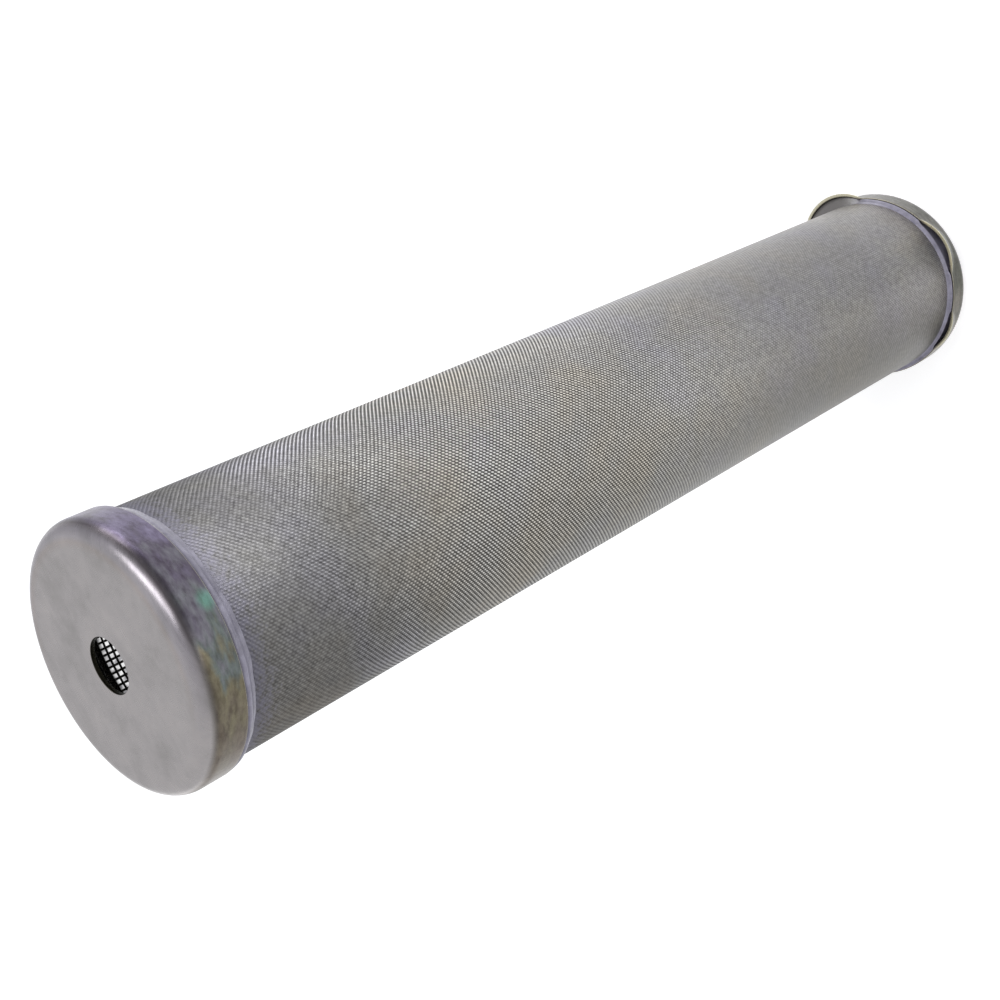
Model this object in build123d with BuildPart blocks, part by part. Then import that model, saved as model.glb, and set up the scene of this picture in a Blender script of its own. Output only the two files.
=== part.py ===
from build123d import *
import os
from math import cos, pi, radians, sin

# Inline strainer element: a tube of fine wire cloth on a coarse wire support, potted at each end
# into a pressed steel cup. It stands on its blind end, with +Z along the tube towards the port.
# Sizes are in millimetres. The origin is the centre of the blind cup's outer face.

# Driving dimensions of the tube
overall_length = 280.0      # outer face of one cup to outer face of the other
cloth_radius = 25.4         # outside of the filter cloth
cloth_wall = 0.5            # cloth thickness, two crossing wires
support_wall = 0.8          # coarse support thickness
mesh_clearance = 0.1        # cloth to support, and either of them to the sealant

# Driving dimensions of the pressed cups
sheet = 0.9                 # steel that both cups are pressed from
skirt_gap = 0.5             # between the cloth and a cup's skirt, filled by the sealant
corner_radius = 3.8         # outside of the rounded corner between end wall and skirt
ported_skirt = 9.0          # depth of the ported cup over its outer face
blind_skirt = 9.0           # depth of the blind cup over its outer face
port_diameter = 11.1
outer_chords = 2            # flats that make up the rounded corner outside
inner_chords = 1            # and inside

# The blind cup's skirt stands off the cloth in three places. Each is a round form that leans
# outwards from the corner to the rim: its bearing in degrees from +X, how far it stands out at
# the rim, and the radius of the form.
skirt_flares = [(-3.0, 3.0, 14.0), (-89.0, 1.9, 13.5), (-147.0, 1.2, 12.2)]
flare_root = 0.3            # how far inside the skirt a flare starts, at the corner

# Driving dimensions of the filter cloth. Each rib stands for a band of the fine long wires, and
# each slot, at the bottom of a groove, for a run of openings between two bands.
slot_columns = 8
ribs_per_column = 8
groove_depth = 0.25
slot_rows = 9
slot_width = 0.5
slot_length = 14.0
lap_width = 9.0             # where the sheet of cloth overlaps itself, on the +Y side
lap_rise = 0.25             # how far the rolled lap stands above the cloth

# Driving dimensions of the coarse support: a net of bars with windows between them
window_columns = 8
window_rows = 5
sides_per_window = 2        # the net is bent round in flats
support_bar = 3.0

# Driving dimensions of the sealant that pots the tube's ends
sealant_clearance = 0.05    # to the steel around it
bed_width = 5.0             # how far the bed runs in under the end wall, inside the tube
ported_bead = 3.0           # along the cloth, past the ported skirt's rim
blind_bead = 2.2            # along the cloth, past the blind skirt's rim

# Sizes that follow
skirt_radius = cloth_radius + skirt_gap
cap_radius = skirt_radius + sheet
support_radius = cloth_radius - cloth_wall - mesh_clearance
support_bore = support_radius - support_wall
support_sides = window_columns * sides_per_window
cloth_ribs = slot_columns * ribs_per_column
mesh_seat = corner_radius + mesh_clearance    # the tube ends where a cup's corner begins
mesh_length = overall_length - 2 * mesh_seat
open_start = blind_skirt + blind_bead
open_length = overall_length - ported_skirt - ported_bead - open_start

os.makedirs("parts", exist_ok=True)


def rounded_corner(radius, floor, inward, size, chords):
    """Points of a rounded corner, from the end wall to the skirt, joined by short chords."""
    turns = [radians(90 * step / chords) for step in range(chords + 1)]
    return [
        (radius - size + size * sin(turn), floor + inward * size * (1 - cos(turn)))
        for turn in turns
    ]


def cup_form(face, inward, inset, rim, chords):
    """A filled cup, drawn in from a cup's outside by inset. Heights run inward (+1 up, -1 down)
    from the outer face."""
    floor = face + inward * inset
    top = face + inward * rim
    radius = cap_radius - inset
    corner = rounded_corner(radius, floor, inward, corner_radius - inset, chords)
    with BuildPart() as form:
        with BuildSketch(Plane.XZ):
            with BuildLine():
                Polyline((0, floor), *corner, (radius, top), (0, top), close=True)
            make_face()
        revolve(axis=Axis.Z)
    return form.part


def flare_form(bearing, reach, radius, inset):
    """The leaning round form of one flare, from the corner to the rim, drawn in by inset."""
    root = cap_radius - flare_root - radius
    rim = cap_radius + reach - radius
    with BuildPart() as form:
        for height, centre in ((corner_radius, root), (blind_skirt, rim)):
            with BuildSketch(Plane.XY.rotated((0, 0, bearing)).offset(height)):
                with Locations((centre, 0)):
                    Circle(radius - inset)
        loft()
    return form.part


def potting_form(face, inward, skirt, bead):
    """The sealant in one cup: a bed under the tube's end, a sleeve round it in the skirt, and a
    bead at the rim, which thins out along the cloth."""
    outside = skirt_radius - sealant_clearance
    bottom = face + inward * (sheet + sealant_clearance)
    rim = skirt + sealant_clearance
    crest = face + inward * rim
    seat = face + inward * corner_radius
    inside = cloth_radius + mesh_clearance
    corner = rounded_corner(outside, bottom, inward, corner_radius - sheet, inner_chords)
    with BuildPart() as form:
        with BuildSketch(Plane.XZ):
            with BuildLine():
                Polyline(
                    (0, bottom),
                    *corner,
                    (outside, crest),
                    (inside, crest + inward * bead),
                    (inside, seat),
                    (0, seat),
                    close=True,
                )
            make_face()
        revolve(axis=Axis.Z)
        with BuildSketch(Plane.XY.offset(seat)):
            RegularPolygon(support_bore - bed_width, support_sides)
        extrude(amount=-inward * corner_radius, mode=Mode.SUBTRACT)
        with BuildSketch(Plane.XY.offset(seat)):
            Circle(inside + lap_rise)
            Rectangle(
                lap_width + 2 * mesh_clearance,
                cap_radius,
                align=(Align.CENTER, Align.MIN),
                mode=Mode.INTERSECT,
            )
            Circle(cloth_radius, mode=Mode.SUBTRACT)
        extrude(amount=inward * (rim + bead - corner_radius), mode=Mode.SUBTRACT)
    return form.part


# Ported cup: drawn and punched from one disc, closing the top of the tube
with BuildPart() as ported_cup:
    add(cup_form(overall_length, -1, 0, ported_skirt, outer_chords))
    add(cup_form(overall_length, -1, sheet, ported_skirt, inner_chords), mode=Mode.SUBTRACT)
    with Locations((0, 0, overall_length)):
        Hole(port_diameter / 2)
ported_cup.part.label = "ported_cup"
export_step(ported_cup.part, "parts/ported_cup.step")

# Blind cup: drawn from one disc with no hole. Its skirt is pressed out in the flares, which
# leave an open pocket between the steel and the cloth.
with BuildPart() as blind_cup:
    add(cup_form(0, 1, 0, blind_skirt, outer_chords))
    for bearing, reach, radius in skirt_flares:
        add(flare_form(bearing, reach, radius, 0))
    add(cup_form(0, 1, sheet, blind_skirt, inner_chords), mode=Mode.SUBTRACT)
    for bearing, reach, radius in skirt_flares:
        add(flare_form(bearing, reach, radius, sheet), mode=Mode.SUBTRACT)
blind_cup.part.label = "blind_cup"
export_step(blind_cup.part, "parts/blind_cup.step")

# Filter cloth: one sheet of fine plain weave, rolled to a tube and lapped along the +Y side.
# The slots lie in the grooves, with each second row shifted by half a column.
with BuildPart() as filter_cloth:
    with BuildSketch(Plane.XY.offset(mesh_seat)):
        Circle(cloth_radius + lap_rise)
        Rectangle(lap_width, cap_radius, align=(Align.CENTER, Align.MIN), mode=Mode.INTERSECT)
        Circle(cloth_radius)
        RegularPolygon(
            cloth_radius - cloth_wall, cloth_ribs, rotation=180 / cloth_ribs, mode=Mode.SUBTRACT
        )
        with PolarLocations(cloth_radius, cloth_ribs):
            Rectangle(2 * groove_depth, 2 * groove_depth, rotation=45, mode=Mode.SUBTRACT)
    extrude(amount=mesh_length)
    row_pitch = open_length / slot_rows
    column_pitch = 360 / slot_columns
    for row in range(slot_rows):
        with Locations((0, 0, open_start + (row + 0.5) * row_pitch)):
            with PolarLocations(cloth_radius, slot_columns, start_angle=row % 2 * column_pitch / 2):
                Box(4 * cloth_wall, slot_width, slot_length, mode=Mode.SUBTRACT)
filter_cloth.part.label = "filter_cloth"
export_step(filter_cloth.part, "parts/filter_cloth.step")

# Coarse support: a stiff open net inside the cloth, which keeps the tube round
with BuildPart() as coarse_support:
    with BuildSketch(Plane.XY.offset(mesh_seat)):
        RegularPolygon(support_radius, support_sides, rotation=180 / support_sides)
        RegularPolygon(
            support_bore, support_sides, rotation=180 / support_sides, mode=Mode.SUBTRACT
        )
    extrude(amount=mesh_length)
    row_pitch = open_length / window_rows
    window_width = 2 * pi * support_bore / window_columns - support_bar
    for row in range(window_rows):
        with Locations((0, 0, open_start + (row + 0.5) * row_pitch)):
            with PolarLocations(support_radius, window_columns):
                Box(4 * support_wall, window_width, row_pitch - support_bar, mode=Mode.SUBTRACT)
coarse_support.part.label = "coarse_support"
export_step(coarse_support.part, "parts/coarse_support.step")

# Sealant of the ported cup: cast round the end of the tube, with an even bead at the rim
with BuildPart() as ported_sealant:
    add(potting_form(overall_length, -1, ported_skirt, ported_bead))
ported_sealant.part.label = "ported_sealant"
export_step(ported_sealant.part, "parts/ported_sealant.step")

# Sealant of the blind cup: its bead stops at each flare, where the pocket stays open
with BuildPart() as blind_sealant:
    add(potting_form(0, 1, blind_skirt, blind_bead))
    for bearing, reach, radius in skirt_flares:
        with BuildSketch(Plane.XY.rotated((0, 0, bearing)).offset(blind_skirt)):
            with Locations((cap_radius + reach - radius, 0)):
                Circle(radius)
            Circle(skirt_radius - skirt_gap, mode=Mode.SUBTRACT)
        extrude(amount=2 * blind_bead, mode=Mode.SUBTRACT)
blind_sealant.part.label = "blind_sealant"
export_step(blind_sealant.part, "parts/blind_sealant.step")
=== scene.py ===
from math import atan2, cos, degrees, hypot, pi, radians, sin, sqrt

import bpy
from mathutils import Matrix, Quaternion, Vector


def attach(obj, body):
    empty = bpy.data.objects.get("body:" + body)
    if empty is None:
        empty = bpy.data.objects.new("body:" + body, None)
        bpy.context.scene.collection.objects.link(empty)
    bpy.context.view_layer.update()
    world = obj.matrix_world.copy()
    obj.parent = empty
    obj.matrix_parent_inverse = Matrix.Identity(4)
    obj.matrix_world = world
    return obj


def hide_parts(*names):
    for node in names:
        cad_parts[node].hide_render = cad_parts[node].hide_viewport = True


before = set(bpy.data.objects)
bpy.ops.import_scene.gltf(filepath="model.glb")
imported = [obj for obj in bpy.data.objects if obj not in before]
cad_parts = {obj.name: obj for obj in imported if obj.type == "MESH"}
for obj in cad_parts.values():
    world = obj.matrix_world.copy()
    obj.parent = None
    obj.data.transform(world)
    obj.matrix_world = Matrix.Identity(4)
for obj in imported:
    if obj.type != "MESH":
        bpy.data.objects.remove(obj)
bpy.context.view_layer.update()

# Inline strainer element, standing on its blind end. Sizes are in millimetres and are turned to
# metres with MM. The origin is the centre of the blind cup's outer face, +Z towards the port.
MM = 0.001
overall_length = 280.0
cloth_radius = 25.4


# Camera: it looks down on the ported end, with the tube running away to the upper right.
camera_place = Vector((-16.02, -241.24, 396.48)) * MM
camera_aim = Vector((-5.634, 0.242, 180.049)) * MM
camera_roll = 117.35

camera_data = bpy.data.cameras.new("camera")
camera_data.lens = 52.77
camera = bpy.data.objects.new("camera", camera_data)
bpy.context.scene.collection.objects.link(camera)
camera.location = camera_place
look = (camera_aim - camera_place).to_track_quat("-Z", "Y")
camera.rotation_euler = (look @ Quaternion((0, 0, 1), radians(-camera_roll))).to_euler()
bpy.context.scene.camera = camera


# Coarse support: a stiff net of steel wire inside the filter cloth, which keeps the tube round.
# Straight long wires carry hoops, 20 to the inch, laid inside them. It is seen through the port.
net_wire = 0.5
net_pitch = 1.27
net_radius = 24.4
net_wires = 120
net_low, net_high = 4.2, 275.8


def clear_selection():
    """Leave edit mode and deselect everything, so that an operator acts on one piece."""
    if bpy.context.object and bpy.context.object.mode != "OBJECT":
        bpy.ops.object.mode_set(mode="OBJECT")
    bpy.ops.object.select_all(action="DESELECT")


def named(name):
    """Name the primitive that was just added, and open it for editing."""
    piece = bpy.context.object
    piece.name = name
    piece.data.name = name
    bpy.ops.object.mode_set(mode="EDIT")
    return piece


def settle(piece, material, angle):
    """Back to object mode, with the place put into the mesh, smooth shading and a material."""
    bpy.ops.object.mode_set(mode="OBJECT")
    bpy.ops.object.transform_apply(location=True, rotation=True, scale=True)
    bpy.ops.object.shade_smooth_by_angle(angle=radians(angle))
    piece.data.materials.clear()
    piece.data.materials.append(material)


def linear(code):
    """The linear colour of an sRGB hex value."""
    parts = [int(code[i:i + 2], 16) / 255 for i in (1, 3, 5)]
    return [c / 12.92 if c <= 0.04045 else ((c + 0.055) / 1.055) ** 2.4 for c in parts] + [1]


def add_node(tree, kind, inputs, ramp=(), **settings):
    """Add a node. Each input is given a value, or the output that it is linked from."""
    node = tree.nodes.new(kind)
    for key, value in settings.items():
        setattr(node, key, value)
    for key, value in inputs.items():
        if isinstance(value, bpy.types.NodeSocket):
            tree.links.new(value, node.inputs[key])
        else:
            node.inputs[key].default_value = value
    for number, (position, code) in enumerate(ramp):
        steps = node.color_ramp.elements
        step = steps[number] if number < 2 else steps.new(position)
        step.position = position
        step.color = linear(code)
    return node.outputs[0] if len(node.outputs) == 1 else node.outputs


def new_material(name):
    """An empty material: the material, its node tree and its Object coordinates."""
    material = bpy.data.materials.new(name)
    material.use_nodes = True
    tree = material.node_tree
    tree.nodes.clear()
    return material, tree, add_node(tree, "ShaderNodeTexCoord", {})["Object"]


# Drawn steel wire, dull with a thin oxide skin: dark grey, with slow variation along the wires.
net_steel, tree, place = new_material("drawn steel wire")
skin = add_node(tree, "ShaderNodeTexNoise", {"Vector": place, "Scale": 220.0, "Detail": 3.0})
tone = add_node(
    tree, "ShaderNodeValToRGB", {"Fac": skin["Fac"]}, [(0.3, "#24221f"), (0.7, "#403d38")]
)
metal = add_node(
    tree,
    "ShaderNodeBsdfPrincipled",
    {"Base Color": tone["Color"], "Metallic": 1.0, "Roughness": 0.5},
)
add_node(tree, "ShaderNodeOutputMaterial", {"Surface": metal})

clear_selection()
bpy.ops.mesh.primitive_cylinder_add(
    vertices=6,
    radius=net_wire / 2 * MM,
    depth=(net_high - net_low) * MM,
    location=(net_radius * MM, 0, (net_high + net_low) / 2 * MM),
)
long_wires = named("coarse_net_long_wires")
bpy.ops.mesh.spin(
    steps=net_wires, angle=2 * pi, center=(0, 0, 0), axis=(0, 0, 1), dupli=True
)
bpy.ops.mesh.select_all(action="SELECT")
bpy.ops.mesh.remove_doubles(threshold=0.02 * MM)
settle(long_wires, net_steel, 80)
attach(long_wires, "root")
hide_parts("coarse_support")

clear_selection()
bpy.ops.mesh.primitive_torus_add(
    location=(0, 0, (net_low + net_wire) * MM),
    major_segments=48,
    minor_segments=4,
    major_radius=(net_radius - 0.8 * net_wire) * MM,
    minor_radius=net_wire / 2 * MM,
)
hoops = named("coarse_net_hoops")
settle(hoops, net_steel, 80)
array = hoops.modifiers.new("hoops", "ARRAY")
array.use_relative_offset = False
array.use_constant_offset = True
array.constant_offset_displace = (0, 0, net_pitch * MM)
array.count = int((net_high - net_low - 2 * net_wire) / net_pitch) + 1
bpy.ops.object.modifier_apply(modifier="hoops")
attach(hoops, "root")
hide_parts("coarse_support")


# Filter cloth: one sheet of fine stainless plain weave, rolled to a tube and lapped along the
# +Y side, where the outer layer ends in a cut edge. Its wires stand 0.51 mm apart along the tube
# and 0.56 mm round it.
cloth_wall = 0.5
cloth_low, cloth_high = 3.9, 276.1
cloth_wires = 284
weft_pitch = 0.508
lap_width = 9.0
lap_rise = 0.25
lap_slope = 3.0

# Stainless wire cloth: its knuckles line up in fine diagonal rows, and the wires along the tube
# show between them. Which set of rows stands out changes with bearing, a painted glint: one set
# on the front, the other on the +X side. Next to the ported cup the cloth is greyed in a band.
grey_band_low, grey_band_high = 260.0, 269.0
cloth_steel, tree, place = new_material("stainless steel wire cloth")
axes = add_node(tree, "ShaderNodeSeparateXYZ", {"Vector": place})
front = add_node(tree, "ShaderNodeMath", {0: axes["Y"], 1: -1.0}, operation="MULTIPLY")
turn = add_node(tree, "ShaderNodeMath", {0: axes["X"], 1: front}, operation="ARCTAN2")
across = add_node(tree, "ShaderNodeMath", {0: turn, 1: cloth_wires / 2}, operation="MULTIPLY")
along = add_node(
    tree, "ShaderNodeMath", {0: axes["Z"], 1: pi / (weft_pitch * MM)}, operation="MULTIPLY"
)
falling = add_node(tree, "ShaderNodeMath", {0: across, 1: along}, operation="ADD")
rising = add_node(tree, "ShaderNodeMath", {0: across, 1: along}, operation="SUBTRACT")
falling = add_node(tree, "ShaderNodeMath", {0: falling}, operation="COSINE")
rising = add_node(tree, "ShaderNodeMath", {0: rising}, operation="COSINE")
# Painted glint: the share of each set of rows, and of the long wires, is set by bearing.
off_glint_bearing = add_node(tree, "ShaderNodeMath", {0: turn, 1: radians(49)}, operation="ADD")
off_glint_bearing = add_node(tree, "ShaderNodeMath", {0: off_glint_bearing}, operation="ABSOLUTE")
painted_glint_lean = add_node(
    tree,
    "ShaderNodeMapRange",
    {"Value": off_glint_bearing, "From Min": radians(111), "From Max": radians(69), "To Min": 0.12, "To Max": 0.7},
)["Result"]
diagonal = add_node(
    tree, "ShaderNodeMix", {"Factor": painted_glint_lean, 2: falling, 3: rising}, data_type="FLOAT"
)[0]
wires = add_node(tree, "ShaderNodeMath", {0: across, 1: 2.0}, operation="MULTIPLY")
wires = add_node(tree, "ShaderNodeMath", {0: wires}, operation="COSINE")
wires = add_node(tree, "ShaderNodeMath", {0: wires, 1: painted_glint_lean}, operation="MULTIPLY")
knuckle = add_node(
    tree, "ShaderNodeMath", {0: wires, 1: 0.8, 2: diagonal}, operation="MULTIPLY_ADD"
)
patches = add_node(
    tree, "ShaderNodeTexNoise", {"Vector": place, "Scale": 30.0, "Detail": 4.0, "Roughness": 0.6}
)
specks = add_node(
    tree, "ShaderNodeTexNoise", {"Vector": place, "Scale": 900.0, "Detail": 4.0, "Roughness": 0.7}
)
# The knuckle rows stand out most half way along and fade towards the ends: in colour this is a painted
# glint, and the bump fades with it.
ragged = add_node(
    tree, "ShaderNodeMath", {0: patches["Fac"], 1: 60 * MM, 2: axes["Z"]}, operation="MULTIPLY_ADD"
)
mid_rise = add_node(
    tree,
    "ShaderNodeMapRange",
    {"Value": ragged, "From Min": 125 * MM, "From Max": 195 * MM, "To Min": 0.25},
    interpolation_type="SMOOTHSTEP",
)["Result"]
mid_fall = add_node(
    tree,
    "ShaderNodeMapRange",
    {"Value": ragged, "From Min": 284 * MM, "From Max": 228 * MM, "To Min": 0.2},
    interpolation_type="SMOOTHSTEP",
)["Result"]
clear = add_node(tree, "ShaderNodeMath", {0: mid_rise, 1: mid_fall}, operation="MULTIPLY")
# Painted glint: the colour contrast of the knuckle rows, strongest half way along.
painted_glint_contrast = add_node(tree, "ShaderNodeMath", {0: clear, 1: 0.5}, operation="MULTIPLY")
# No two knuckles are quite alike, so the rows are broken up a little.
grain = add_node(
    tree,
    "ShaderNodeMapRange",
    {"Value": specks["Fac"], "From Min": 0.3, "From Max": 0.7, "To Min": 0.38, "To Max": 0.62},
)["Result"]
level = add_node(
    tree, "ShaderNodeMath", {0: knuckle, 1: painted_glint_contrast, 2: grain}, operation="MULTIPLY_ADD"
)
wire_tone = add_node(
    tree,
    "ShaderNodeValToRGB",
    {"Fac": level},
    [(0.0, "#44433f"), (1.0, "#fcfcf8"), (0.3, "#747371"), (0.5, "#a3a2a0"), (0.7, "#c8c8c5")],
)
# Handling and a little oil tint the cloth in broad soft patches, cooler and warmer.
tint = add_node(
    tree,
    "ShaderNodeValToRGB",
    {"Fac": patches["Fac"]},
    [(0.3, "#dddce8"), (0.7, "#e6e0d6"), (0.5, "#dedddc")],
)
tinted = add_node(
    tree,
    "ShaderNodeMix",
    {"Factor": 1.0, 6: wire_tone["Color"], 7: tint["Color"]},
    data_type="RGBA",
    blend_type="MULTIPLY",
)[2]
# Darker towards the ported end; next to the blind cup the cloth is painted lighter, painted light that
# lifts the shade there.
end_tone_painted_light = add_node(
    tree,
    "ShaderNodeMapRange",
    {"Value": mid_fall, "From Min": 0.2, "To Min": 0.86},
)["Result"]
painted_light_blind_end = add_node(
    tree,
    "ShaderNodeMapRange",
    {"Value": axes["Z"], "From Min": 45 * MM, "From Max": 12 * MM, "To Min": 1.0, "To Max": 1.45},
)["Result"]
end_tone_painted_light = add_node(tree, "ShaderNodeMath", {0: end_tone_painted_light, 1: painted_light_blind_end}, operation="MULTIPLY")
tinted = add_node(
    tree,
    "ShaderNodeMix",
    {"Factor": 1.0, 6: tinted, 7: end_tone_painted_light},
    data_type="RGBA",
    blend_type="MULTIPLY",
)[2]
# It is painted darker and browner on the -X side, painted shade, and painted lighter along the front,
# painted light. Both ends of the ramp meet at the back, so they are alike.
side_place = add_node(
    tree, "ShaderNodeMapRange", {"Value": turn, "From Min": -pi, "From Max": pi}
)["Result"]
painted_side_light = add_node(
    tree,
    "ShaderNodeValToRGB",
    {"Fac": side_place},
    [
        (0.0, "#cac8c6"),
        (1.0, "#cac8c6"),
        (0.25, "#a5a39c"),
        (0.294, "#a5a39c"),
        (0.366, "#c0beb7"),
        (0.41, "#dcd9d3"),
        (0.454, "#fbf9f5"),
        (0.508, "#fafafb"),
        (0.561, "#ebeaec"),
        (0.694, "#f0eef0"),
    ],
)
painted_side_light_share = add_node(
    tree,
    "ShaderNodeMapRange",
    {"Value": axes["Z"], "From Min": 60 * MM, "From Max": 230 * MM, "To Min": 1.0, "To Max": 0.3},
)["Result"]
tinted = add_node(
    tree,
    "ShaderNodeMix",
    {"Factor": painted_side_light_share, 6: tinted, 7: painted_side_light["Color"]},
    data_type="RGBA",
    blend_type="MULTIPLY",
)[2]
# Next to the ported cup the cloth is mixed towards lavender grey, in specks, in a band below the bead.
near_bead = add_node(
    tree,
    "ShaderNodeMapRange",
    {"Value": axes["Z"], "From Min": grey_band_low * MM, "From Max": grey_band_high * MM},
)["Result"]
grey_band = add_node(
    tree, "ShaderNodeMath", {0: near_bead, 1: 0.55, 2: specks["Fac"]}, operation="MULTIPLY_ADD"
)
grey_band = add_node(
    tree,
    "ShaderNodeMapRange",
    {"Value": grey_band, "From Min": 0.72, "From Max": 1.0, "To Max": 0.8},
)["Result"]
tinted = add_node(
    tree,
    "ShaderNodeMix",
    {"Factor": grey_band, 6: tinted, 7: linear("#85838f")},
    data_type="RGBA",
)[2]
bump = add_node(
    tree, "ShaderNodeBump", {"Height": knuckle, "Strength": clear, "Distance": 0.1 * MM}
)
metal = add_node(
    tree,
    "ShaderNodeBsdfPrincipled",
    {"Base Color": tinted, "Metallic": 1.0, "Roughness": 0.42, "Normal": bump},
)
add_node(tree, "ShaderNodeOutputMaterial", {"Surface": metal})

# The inside of the same cloth: between the skirts it glows, a painted glow for the light that comes in
# through its openings, unevenly.
lit_low, lit_high = 10.0, 268.4
cloth_inside_glow, tree, place = new_material("wire cloth inside, painted glow")
axes = add_node(tree, "ShaderNodeSeparateXYZ", {"Vector": place})
above = add_node(
    tree,
    "ShaderNodeMapRange",
    {"Value": axes["Z"], "From Min": lit_high * MM, "From Max": (lit_high - 1) * MM},
)["Result"]
below = add_node(
    tree,
    "ShaderNodeMapRange",
    {"Value": axes["Z"], "From Min": lit_low * MM, "From Max": (lit_low + 1) * MM},
)["Result"]
glow_share = add_node(tree, "ShaderNodeMath", {0: above, 1: below}, operation="MULTIPLY")
cloudy = add_node(tree, "ShaderNodeTexNoise", {"Vector": place, "Scale": 800.0, "Detail": 2.0})
glow_tone = add_node(
    tree, "ShaderNodeValToRGB", {"Fac": cloudy["Fac"]}, [(0.35, "#a3a2a6"), (0.6, "#ffffff")]
)
metal = add_node(
    tree,
    "ShaderNodeBsdfPrincipled",
    {"Base Color": linear("#6a6763"), "Metallic": 1.0, "Roughness": 0.5},
)
# Painted light: the inside glows between the skirts, though it is no lamp.
painted_daylight_glow = add_node(tree, "ShaderNodeEmission", {"Color": glow_tone["Color"], "Strength": 0.9})
surface = add_node(tree, "ShaderNodeMixShader", {0: glow_share, 1: metal, 2: painted_daylight_glow})
add_node(tree, "ShaderNodeOutputMaterial", {"Surface": surface})

clear_selection()
bpy.ops.mesh.primitive_cylinder_add(
    vertices=cloth_wires,
    radius=cloth_radius * MM,
    depth=(cloth_high - cloth_low) * MM,
    location=(0, 0, (cloth_high + cloth_low) / 2 * MM),
    end_fill_type="NOTHING",
)
cloth = named("filter_cloth_woven")
settle(cloth, cloth_steel, 60)
for vertex in cloth.data.vertices:
    across_lap = vertex.co.x / MM + lap_width / 2
    if vertex.co.y > 0 and 0 < across_lap < lap_width:
        stretch = 1 + lap_rise * min(1, across_lap / lap_slope) / cloth_radius
        vertex.co.x *= stretch
        vertex.co.y *= stretch
cloth.data.materials.append(cloth_inside_glow)
wall = cloth.modifiers.new("wall", "SOLIDIFY")
wall.thickness = cloth_wall * MM
wall.offset = -1
wall.material_offset = 1
bpy.ops.object.modifier_apply(modifier="wall")
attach(cloth, "root")
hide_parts("filter_cloth")


# Sealant of each cup: grey potting compound, cast round the end of the tube. It fills the gap
# inside the skirt and ends in a soft bead at the rim, with an uneven edge on the cloth. It nearly
# fills the blind cup's ear, and leaves an open pocket behind each of its two lips.
sheet = 0.9
skirt_radius = 25.9
cap_radius = 26.8
corner_radius = 3.8
ported_skirt = 9.0
blind_skirt = 9.0
ported_bead = 3.0
blind_bead = 1.5
bed_radius = 19.0
skirt_flares = [(-3.0, 3.0, 14.0), (-89.0, 1.9, 13.5), (-147.0, 1.2, 12.2)]
flare_root = 0.3
sag_bearing = -160.0


def turned(name, profile, steps):
    """A form spun round Z from its closed or axis-to-axis profile of (radius, height)."""
    clear_selection()
    bpy.ops.mesh.primitive_plane_add(size=MM)
    piece = named(name)
    bpy.ops.mesh.merge(type="CENTER")
    bpy.ops.transform.translate(value=(profile[0][0] * MM, 0, profile[0][1] * MM))
    for start, end in zip(profile, profile[1:]):
        move = ((end[0] - start[0]) * MM, 0, (end[1] - start[1]) * MM)
        bpy.ops.mesh.extrude_region_move(TRANSFORM_OT_translate={"value": move})
    bpy.ops.mesh.select_all(action="SELECT")
    bpy.ops.mesh.spin(steps=steps, angle=2 * pi, center=(0, 0, 0), axis=(0, 0, 1))
    bpy.ops.mesh.select_all(action="SELECT")
    bpy.ops.mesh.remove_doubles(threshold=0.005 * MM)
    bpy.ops.mesh.normals_make_consistent(inside=False)
    return piece


def arc(centre, radius, start, end, count):
    """Points of an arc in a profile, from one angle to another in degrees."""
    turns = [radians(start + (end - start) * step / count) for step in range(count + 1)]
    return [(centre[0] + radius * cos(turn), centre[1] + radius * sin(turn)) for turn in turns]


def flipped(profile):
    """A profile of the blind end, turned over for the ported end."""
    return [(radius, overall_length - height) for radius, height in profile]


def flare_reach(bearing, height):
    """How far the blind skirt stands out, at a bearing in degrees and a height."""
    share = (height - corner_radius) / (blind_skirt - corner_radius)
    reach = 0.0
    for middle, stand_out, radius in skirt_flares:
        offset = radians((bearing - middle + 180) % 360 - 180)
        centre = cap_radius - flare_root - radius + share * (flare_root + stand_out)
        if share > 0 and abs(offset) < pi / 2 and centre * abs(sin(offset)) < radius:
            form = centre * cos(offset) + sqrt(radius ** 2 - (centre * sin(offset)) ** 2)
            reach = max(reach, form - cap_radius)
    return reach


def in_ear(bearing):
    """Whether a bearing is within the largest flare, the ear."""
    return abs((bearing - skirt_flares[0][0] + 180) % 360 - 180) < 30


def uneven(bearing, seed):
    """A slow irregular wave round the tube, between about -1 and 1."""
    turn = radians(bearing)
    waves = ((0.5, 3, 1.0), (0.3, 7, 2.3), (0.2, 17, 4.1), (0.15, 31, 1.7))
    return sum(size * sin(count * turn + shift * seed) for size, count, shift in waves)


def potting(skirt, bead):
    """The profile of one cup's sealant, from the bed to the bead and back along the cloth."""
    outside = skirt_radius - 0.04
    inside = cloth_radius - 0.06
    floor = sheet + 0.05
    crest = skirt + 0.04
    inner_corner = corner_radius - sheet
    corner = arc((outside - inner_corner, floor + inner_corner), inner_corner, 270, 360, 6)
    shape = ((0.1, 0.02), (0.42, 0.07), (0.6, 0.16), (0.67, 0.26), (0.6, 0.37), (0.38, 0.48))
    swell = [(outside + out, crest + bead * up) for out, up in shape]
    feather = [(outside - 0.02, crest + bead * 0.6), (inside + 0.24, crest + bead * 0.78)]
    feather += [(inside, crest + bead)]
    bed = [(inside, corner_radius), (bed_radius, corner_radius), (bed_radius, floor)]
    sleeve = [(outside, (floor + crest) / 2), (outside, crest)]
    return [(bed_radius, floor)] + corner + sleeve + swell + feather + bed


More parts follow.
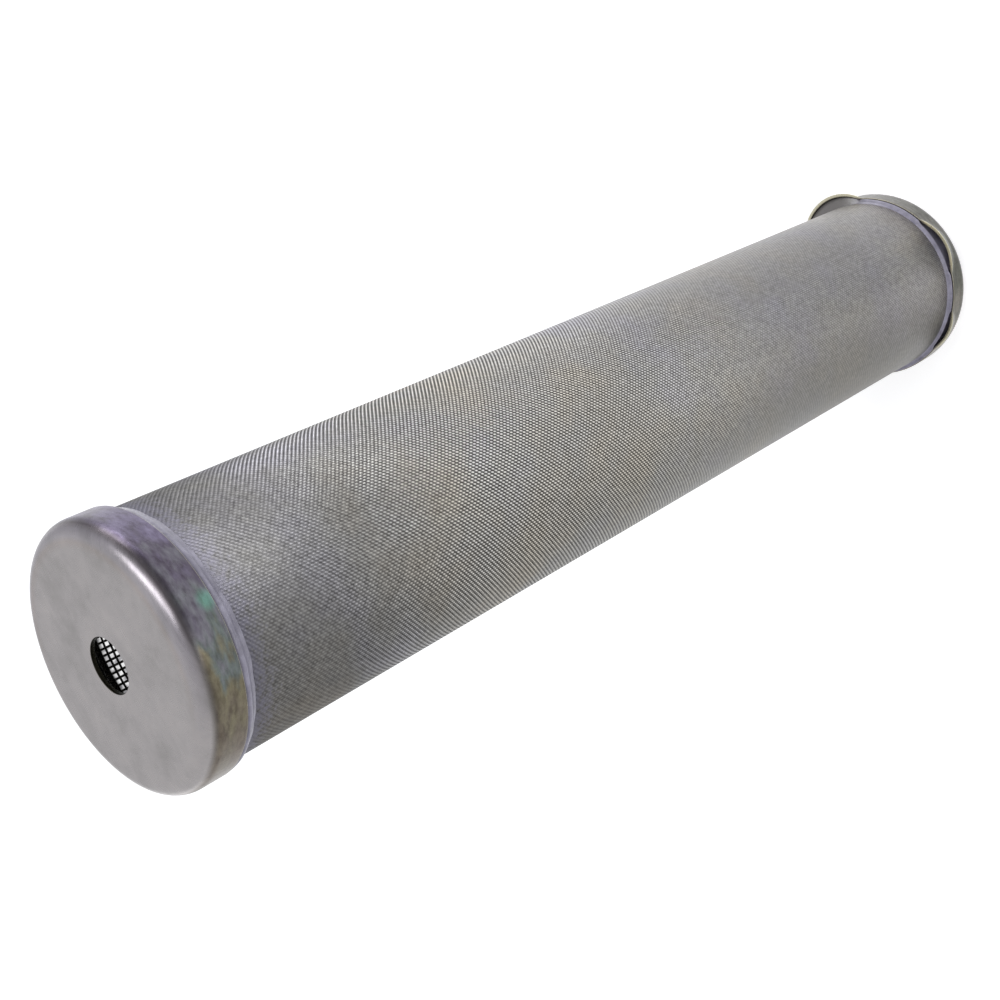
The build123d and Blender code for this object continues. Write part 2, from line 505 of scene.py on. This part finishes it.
# Grey potting compound, a filled epoxy: lavender grey and slightly glossy, cloudy where the
# filler settled, with fine bubbles.
compound, tree, place = new_material("grey potting compound")
clouds = add_node(
    tree, "ShaderNodeTexNoise", {"Vector": place, "Scale": 260.0, "Detail": 5.0, "Roughness": 0.7}
)
tone = add_node(
    tree,
    "ShaderNodeValToRGB",
    {"Fac": clouds["Fac"]},
    [(0.3, "#6c6977"), (0.75, "#a8a5b6"), (0.5, "#888594")],
)
# The sealant in the blind cup's ear, on the +X side, is painted darker: painted shade.
ear_place = add_node(
    tree,
    "ShaderNodeVectorMath",
    {0: place, 1: (27.6 * MM, -1.4 * MM, 9 * MM)},
    operation="DISTANCE",
)["Value"]
painted_ear_shade = add_node(
    tree,
    "ShaderNodeMapRange",
    {"Value": ear_place, "From Min": 13 * MM, "From Max": 8 * MM, "To Max": 0.9},
)["Result"]
tone = add_node(
    tree,
    "ShaderNodeMix",
    {"Factor": painted_ear_shade, 6: tone["Color"], 7: linear("#63605b")},
    data_type="RGBA",
)[2]
bump = add_node(
    tree, "ShaderNodeBump", {"Height": clouds["Fac"], "Strength": 0.6, "Distance": 0.25 * MM}
)
resin = add_node(
    tree,
    "ShaderNodeBsdfPrincipled",
    {"Base Color": tone, "Roughness": 0.28, "IOR": 1.52, "Normal": bump},
)
add_node(tree, "ShaderNodeOutputMaterial", {"Surface": resin})

for name, node, skirt, bead in (
    ("ported_sealant_bead", "ported_sealant", ported_skirt, ported_bead),
    ("blind_sealant_bead", "blind_sealant", blind_skirt, blind_bead),
):
    ported = node == "ported_sealant"
    crest = skirt + 0.04
    profile = potting(skirt, bead)
    piece = turned(name, flipped(profile) if ported else profile, 240)
    settle(piece, compound, 50)
    for vertex in piece.data.vertices:
        radius = hypot(vertex.co.x, vertex.co.y) / MM
        bearing = degrees(atan2(vertex.co.y, vertex.co.x))
        height = vertex.co.z / MM
        past = (overall_length - height if ported else height) - crest
        if past > -0.01 and radius > cloth_radius - 0.1:
            thin = radius - cloth_radius
            stand_out = 0.0 if ported else flare_reach(bearing, blind_skirt)
            opened = min(1, stand_out / 0.4)
            if ported:
                sag = cos(radians(bearing - sag_bearing))
                thin = min(thin, 0.4) + max(0, thin - 0.4) * (0.75 + 0.45 * sag)
                past *= 1 + 0.12 * uneven(bearing, 1.0)
            elif in_ear(bearing):
                # The ear is nearly filled: the sealant slopes from the cloth to the steel.
                share = past / bead
                sunk = -0.25 * stand_out
                wall = skirt_radius - 0.04 + flare_reach(bearing, crest + sunk)
                slope = (wall - cloth_radius) * (1 - share) - 0.06 * share
                thin += (slope - thin) * opened
                past += (sunk * (1 - share) + (bead - 0.3) * share - past) * opened
            else:
                # In an open pocket the bead stays on the cloth, and the steel stands off it.
                thin *= 1 - 0.35 * opened
                past *= 1 + 0.1 * uneven(bearing, 5.0)
            stretch = (cloth_radius + thin) / radius
            vertex.co.x *= stretch
            vertex.co.y *= stretch
            height = crest + past
            vertex.co.z = (overall_length - height if ported else height) * MM
    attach(piece, "root")
    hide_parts(node)


# Ported cup: pressed from one steel disc, with the port punched in its face, then zinc plated.
# Its corner is drawn round, and its skirt slips over the end of the tube.
port_radius = 5.55
edge_round = 0.12


def cup_profile(skirt, hole):
    """A pressed cup's section, from its hole or its axis out to the rim and back inside."""
    inner_corner = corner_radius - sheet
    centre = (cap_radius - corner_radius, corner_radius)
    face = [(r, 0.0) for r in (7, 9, 11, 13, 15, 17, 19, 21) if r > hole + 1]
    back = [(r, sheet) for r in (21, 17, 13, 9) if r > hole + 1]
    rise = (skirt - edge_round - corner_radius) / 8
    heights = [corner_radius + rise * step for step in range(1, 9)]
    outside = [(cap_radius, height) for height in heights]
    inside = [(skirt_radius, height) for height in reversed(heights)]
    rim = arc((cap_radius - edge_round, skirt - edge_round), edge_round, 0, 90, 3)
    rim += arc((skirt_radius + edge_round, skirt - edge_round), edge_round, 90, 180, 3)
    outline = face + arc(centre, corner_radius, 270, 360, 12) + outside[:-1] + rim
    outline += inside[1:] + arc(centre, inner_corner, 360, 270, 6) + back
    if hole:
        lip = arc((hole + edge_round, sheet - edge_round), edge_round, 90, 180, 3)
        lip += arc((hole + edge_round, edge_round), edge_round, 180, 270, 3)
        return outline + lip + outline[:1]
    return [(0.0, 0.0)] + outline + [(0.0, sheet)]


def zinc_plate(name, film_tones, rim_height, spot, hole):
    """Bright zinc with a clear passivate: satin warm grey on the face, with faint scratches. On
    the drawn skirt the passivate is thicker and shows its colours, laid out by bearing towards
    the side of the light, a painted reflection. The cut edges are bare, bright where pressed out
    with a painted highlight and painted dark elsewhere, a painted shadow line; the punched port
    is dull, with painted shade."""
    material, tree, place = new_material(name)
    axes = add_node(tree, "ShaderNodeSeparateXYZ", {"Vector": place})
    cloud = add_node(
        tree,
        "ShaderNodeTexNoise",
        {"Vector": place, "Scale": 90.0, "Detail": 6.0, "Roughness": 0.68},
    )
    face_tone = add_node(
        tree,
        "ShaderNodeValToRGB",
        {"Fac": cloud["Fac"]},
        [(0.3, "#aeaaa7"), (0.72, "#cbc5c2"), (0.5, "#bfbab8")],
    )
    # Painted reflection: the skirt's film colours run round it by bearing, towards the side of the
    # light.
    light_side_way = (cos(radians(light_side_bearing)) / MM, sin(radians(light_side_bearing)) / MM, 0)
    light_side = add_node(
        tree, "ShaderNodeVectorMath", {0: place, 1: light_side_way}, operation="DOT_PRODUCT"
    )["Value"]
    light_side = add_node(
        tree,
        "ShaderNodeMapRange",
        {"Value": light_side, "From Min": -cap_radius, "From Max": cap_radius},
    )["Result"]
    streak_place = add_node(tree, "ShaderNodeMapping", {"Vector": place, "Scale": (1.0, 1.0, 2.6)})
    drift = add_node(
        tree,
        "ShaderNodeTexNoise",
        {"Vector": streak_place, "Scale": 120.0, "Detail": 3.0, "Roughness": 0.55},
    )
    film = add_node(tree, "ShaderNodeMath", {0: drift["Fac"], 1: light_side}, operation="ADD")
    film = add_node(tree, "ShaderNodeMath", {0: film, 1: 0.5}, operation="SUBTRACT")
    film_tone = add_node(tree, "ShaderNodeValToRGB", {"Fac": film}, film_tones)
    stains = add_node(
        tree,
        "ShaderNodeTexNoise",
        {"Vector": streak_place, "Scale": 420.0, "Detail": 5.0, "Roughness": 0.65},
    )
    stain_tone = add_node(
        tree,
        "ShaderNodeValToRGB",
        {"Fac": stains["Fac"]},
        [(0.32, "#c4c0c2"), (0.7, "#ffffff"), (0.5, "#e6e4e6")],
    )
    film_tone = add_node(
        tree,
        "ShaderNodeMix",
        {"Factor": 1.0, 6: film_tone["Color"], 7: stain_tone["Color"]},
        data_type="RGBA",
        blend_type="MULTIPLY",
    )[2]
    if spot:
        # A painted blue green highlight near the rim, in one patch.
        glint_patch_distance = add_node(
            tree,
            "ShaderNodeVectorMath",
            {0: place, 1: [part * MM for part in spot]},
            operation="DISTANCE",
        )["Value"]
        painted_glint_patch = add_node(
            tree,
            "ShaderNodeMapRange",
            {"Value": glint_patch_distance, "From Min": 2.6 * MM, "From Max": 0.2 * MM},
            interpolation_type="SMOOTHSTEP",
        )["Result"]
        painted_glint_patch = add_node(tree, "ShaderNodeMath", {0: painted_glint_patch, 1: stains["Fac"]}, operation="MULTIPLY")
        film_tone = add_node(
            tree,
            "ShaderNodeMix",
            {"Factor": painted_glint_patch, 6: film_tone, 7: linear("#6aa392")},
            data_type="RGBA",
        )[2]
    flat = add_node(tree, "ShaderNodeCombineXYZ", {"X": axes["X"], "Y": axes["Y"]})
    out = add_node(tree, "ShaderNodeVectorMath", {0: flat}, operation="LENGTH")["Value"]
    on_skirt = add_node(
        tree,
        "ShaderNodeMapRange",
        {"Value": out, "From Min": (cap_radius - 0.8) * MM, "From Max": (cap_radius - 0.05) * MM},
        interpolation_type="SMOOTHSTEP",
    )["Result"]
    tone = add_node(
        tree,
        "ShaderNodeMix",
        {"Factor": on_skirt, 6: face_tone["Color"], 7: film_tone},
        data_type="RGBA",
    )[2]
    # Round the corner, on the side towards the light, it is tinted in faint rings and darkened in a
    # line where the skirt starts: painted reflection.
    corner_place = add_node(
        tree,
        "ShaderNodeMapRange",
        {"Value": out, "From Min": (cap_radius - 4.8) * MM, "From Max": (cap_radius + 0.02) * MM},
    )["Result"]
    painted_corner_tone = add_node(
        tree,
        "ShaderNodeValToRGB",
        {"Fac": corner_place},
        [
            (0.0, "#ffffff"),
            (1.0, "#ffffff"),
            (0.3, "#fcf8f6"),
            (0.5, "#f4f4fb"),
            (0.76, "#cdccd6"),
            (0.9, "#8f8b90"),
            (0.97, "#c0bdbf"),
        ],
    )
    painted_corner_share = add_node(
        tree, "ShaderNodeMapRange", {"Value": light_side, "From Min": 0.25, "From Max": 0.65}
    )["Result"]
    tone = add_node(
        tree,
        "ShaderNodeMix",
        {"Factor": painted_corner_share, 6: tone, 7: painted_corner_tone["Color"]},
        data_type="RGBA",
        blend_type="MULTIPLY",
    )[2]
    off_rim = add_node(
        tree, "ShaderNodeMath", {0: axes["Z"], 1: rim_height * MM}, operation="SUBTRACT"
    )
    off_rim = add_node(tree, "ShaderNodeMath", {0: off_rim}, operation="ABSOLUTE")
    cut_edge = add_node(
        tree,
        "ShaderNodeMapRange",
        {"Value": off_rim, "From Min": 0.14 * MM, "From Max": 0.06 * MM},
    )["Result"]
    pressed_out = add_node(
        tree,
        "ShaderNodeMapRange",
        {"Value": out, "From Min": (cap_radius - 0.4) * MM, "From Max": (cap_radius + 0.4) * MM},
    )["Result"]
    # The cut edge is bare steel: where the skirt was pressed out it is bright, with a painted
    # highlight; elsewhere it is painted dark, a painted shadow line.
    edge_tone_painted = add_node(
        tree,
        "ShaderNodeMix",
        {"Factor": pressed_out, 6: linear("#4f4b55"), 7: linear("#e2dcc0")},
        data_type="RGBA",
    )[2]
    tone = add_node(
        tree, "ShaderNodeMix", {"Factor": cut_edge, 6: tone, 7: edge_tone_painted}, data_type="RGBA"
    )[2]
    if hole:
        # The punched port's wall is dull sheared steel, painted dark: painted shade.
        in_port = add_node(
            tree,
            "ShaderNodeMapRange",
            {"Value": out, "From Min": (hole + 0.12) * MM, "From Max": (hole + 0.04) * MM},
        )["Result"]
        tone = add_node(
            tree,
            "ShaderNodeMix",
            {"Factor": in_port, 6: tone, 7: linear("#35332a")},
            data_type="RGBA",
        )[2]
    scratch_place = add_node(
        tree,
        "ShaderNodeMapping",
        {"Vector": place, "Rotation": (0.3, 0.2, 0.9), "Scale": (1.0, 14.0, 1.0)},
    )
    scratches = add_node(
        tree,
        "ShaderNodeTexNoise",
        {"Vector": scratch_place, "Scale": 180.0, "Detail": 4.0, "Roughness": 0.7},
    )
    gloss = add_node(
        tree,
        "ShaderNodeMapRange",
        {"Value": scratches["Fac"], "From Min": 0.3, "From Max": 0.7, "To Min": 0.24, "To Max": 0.36},
    )["Result"]
    bump = add_node(
        tree,
        "ShaderNodeBump",
        {"Height": scratches["Fac"], "Strength": 0.4, "Distance": 0.03 * MM},
    )
    metal = add_node(
        tree,
        "ShaderNodeBsdfPrincipled",
        {"Base Color": tone, "Metallic": 1.0, "Roughness": gloss, "Normal": bump},
    )
    add_node(tree, "ShaderNodeOutputMaterial", {"Surface": metal})
    return material


light_side_bearing = -21.5
ported_film = [
    (0.0, "#70665a"),
    (1.0, "#7b758a"),
    (0.28, "#6f685b"),
    (0.44, "#77725e"),
    (0.58, "#68706d"),
    (0.7, "#76767c"),
    (0.84, "#645f6b"),
]
ported_zinc = zinc_plate(
    "zinc plate with clear passivate, ported cup",
    ported_film,
    overall_length - ported_skirt,
    (1.0, -26.8, 272.2),
    port_radius,
)
ported_cup = turned("ported_cup_pressed", flipped(cup_profile(ported_skirt, port_radius)), 192)
settle(ported_cup, ported_zinc, 40)
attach(ported_cup, "root")
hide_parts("ported_cup")


# Blind cup: pressed like the other one, with no port. Its skirt was pressed outwards in three
# places, a tall ear and two shallow lips, and stands off the cloth there.
blind_film = [
    (0.0, "#8f897a"),
    (1.0, "#8d8c86"),
    (0.25, "#77746a"),
    (0.45, "#5b5d52"),
    (0.7, "#6f7069"),
]
blind_zinc = zinc_plate(
    "zinc plate with clear passivate, blind cup",
    blind_film,
    blind_skirt,
    None,
    0,
)
blind_cup = turned("blind_cup_pressed", cup_profile(blind_skirt, 0), 360)
settle(blind_cup, blind_zinc, 40)
for vertex in blind_cup.data.vertices:
    radius = hypot(vertex.co.x, vertex.co.y)
    if radius > (skirt_radius - 0.5) * MM:
        bearing = degrees(atan2(vertex.co.y, vertex.co.x))
        stretch = 1 + flare_reach(bearing, min(vertex.co.z / MM, blind_skirt)) * MM / radius
        vertex.co.x *= stretch
        vertex.co.y *= stretch
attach(blind_cup, "root")
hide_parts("blind_cup")


# Floor and light: a plain white floor under a soft, even studio light. The floor shows white to
# the camera and in the metal, and still takes the object's shadow.
floor_white, tree, place = new_material("white studio floor")
ray = add_node(tree, "ShaderNodeLightPath", {})
seen = add_node(
    tree, "ShaderNodeMath", {0: ray["Is Camera Ray"], 1: ray["Is Glossy Ray"]}, operation="MAXIMUM"
)
seen = add_node(
    tree, "ShaderNodeMath", {0: seen, 1: ray["Is Transmission Ray"]}, operation="MAXIMUM"
)
paint = add_node(tree, "ShaderNodeBsdfDiffuse", {"Color": linear("#e6e6e6")})
glow = add_node(tree, "ShaderNodeEmission", {"Color": linear("#ffffff"), "Strength": 0.55})
shown = add_node(tree, "ShaderNodeAddShader", {0: paint, 1: glow})
surface = add_node(tree, "ShaderNodeMixShader", {0: seen, 1: paint, 2: shown})
add_node(tree, "ShaderNodeOutputMaterial", {"Surface": surface})

clear_selection()
bpy.ops.mesh.primitive_plane_add(size=10)
floor = named("studio_floor")
settle(floor, floor_white, 30)

world = bpy.data.worlds.new("studio")
bpy.context.scene.world = world
world.use_nodes = True
world.node_tree.nodes["Background"].inputs["Color"].default_value = linear("#e9eaee")
world.node_tree.nodes["Background"].inputs["Strength"].default_value = 0.78

for name, spot, width, height, power in (
    ("key", (0.42, -0.34, 1.05), 0.9, 0.3, 3.0),
    ("side", (1.15, -0.1, 0.25), 0.6, 0.5, 4.2),
    ("front", (-0.42, -1.1, 0.3), 0.4, 0.5, 1.6),
):
    lamp_data = bpy.data.lights.new(name, "AREA")
    lamp_data.shape = "RECTANGLE"
    lamp_data.size = width
    lamp_data.size_y = height
    lamp_data.energy = power
    lamp = bpy.data.objects.new(name, lamp_data)
    bpy.context.scene.collection.objects.link(lamp)
    lamp.location = spot
    lamp.rotation_euler = (Vector((0, 0, 0.14)) - lamp.location).to_track_quat("-Z", "Y").to_euler()

bpy.context.scene.view_settings.view_transform = "Standard"
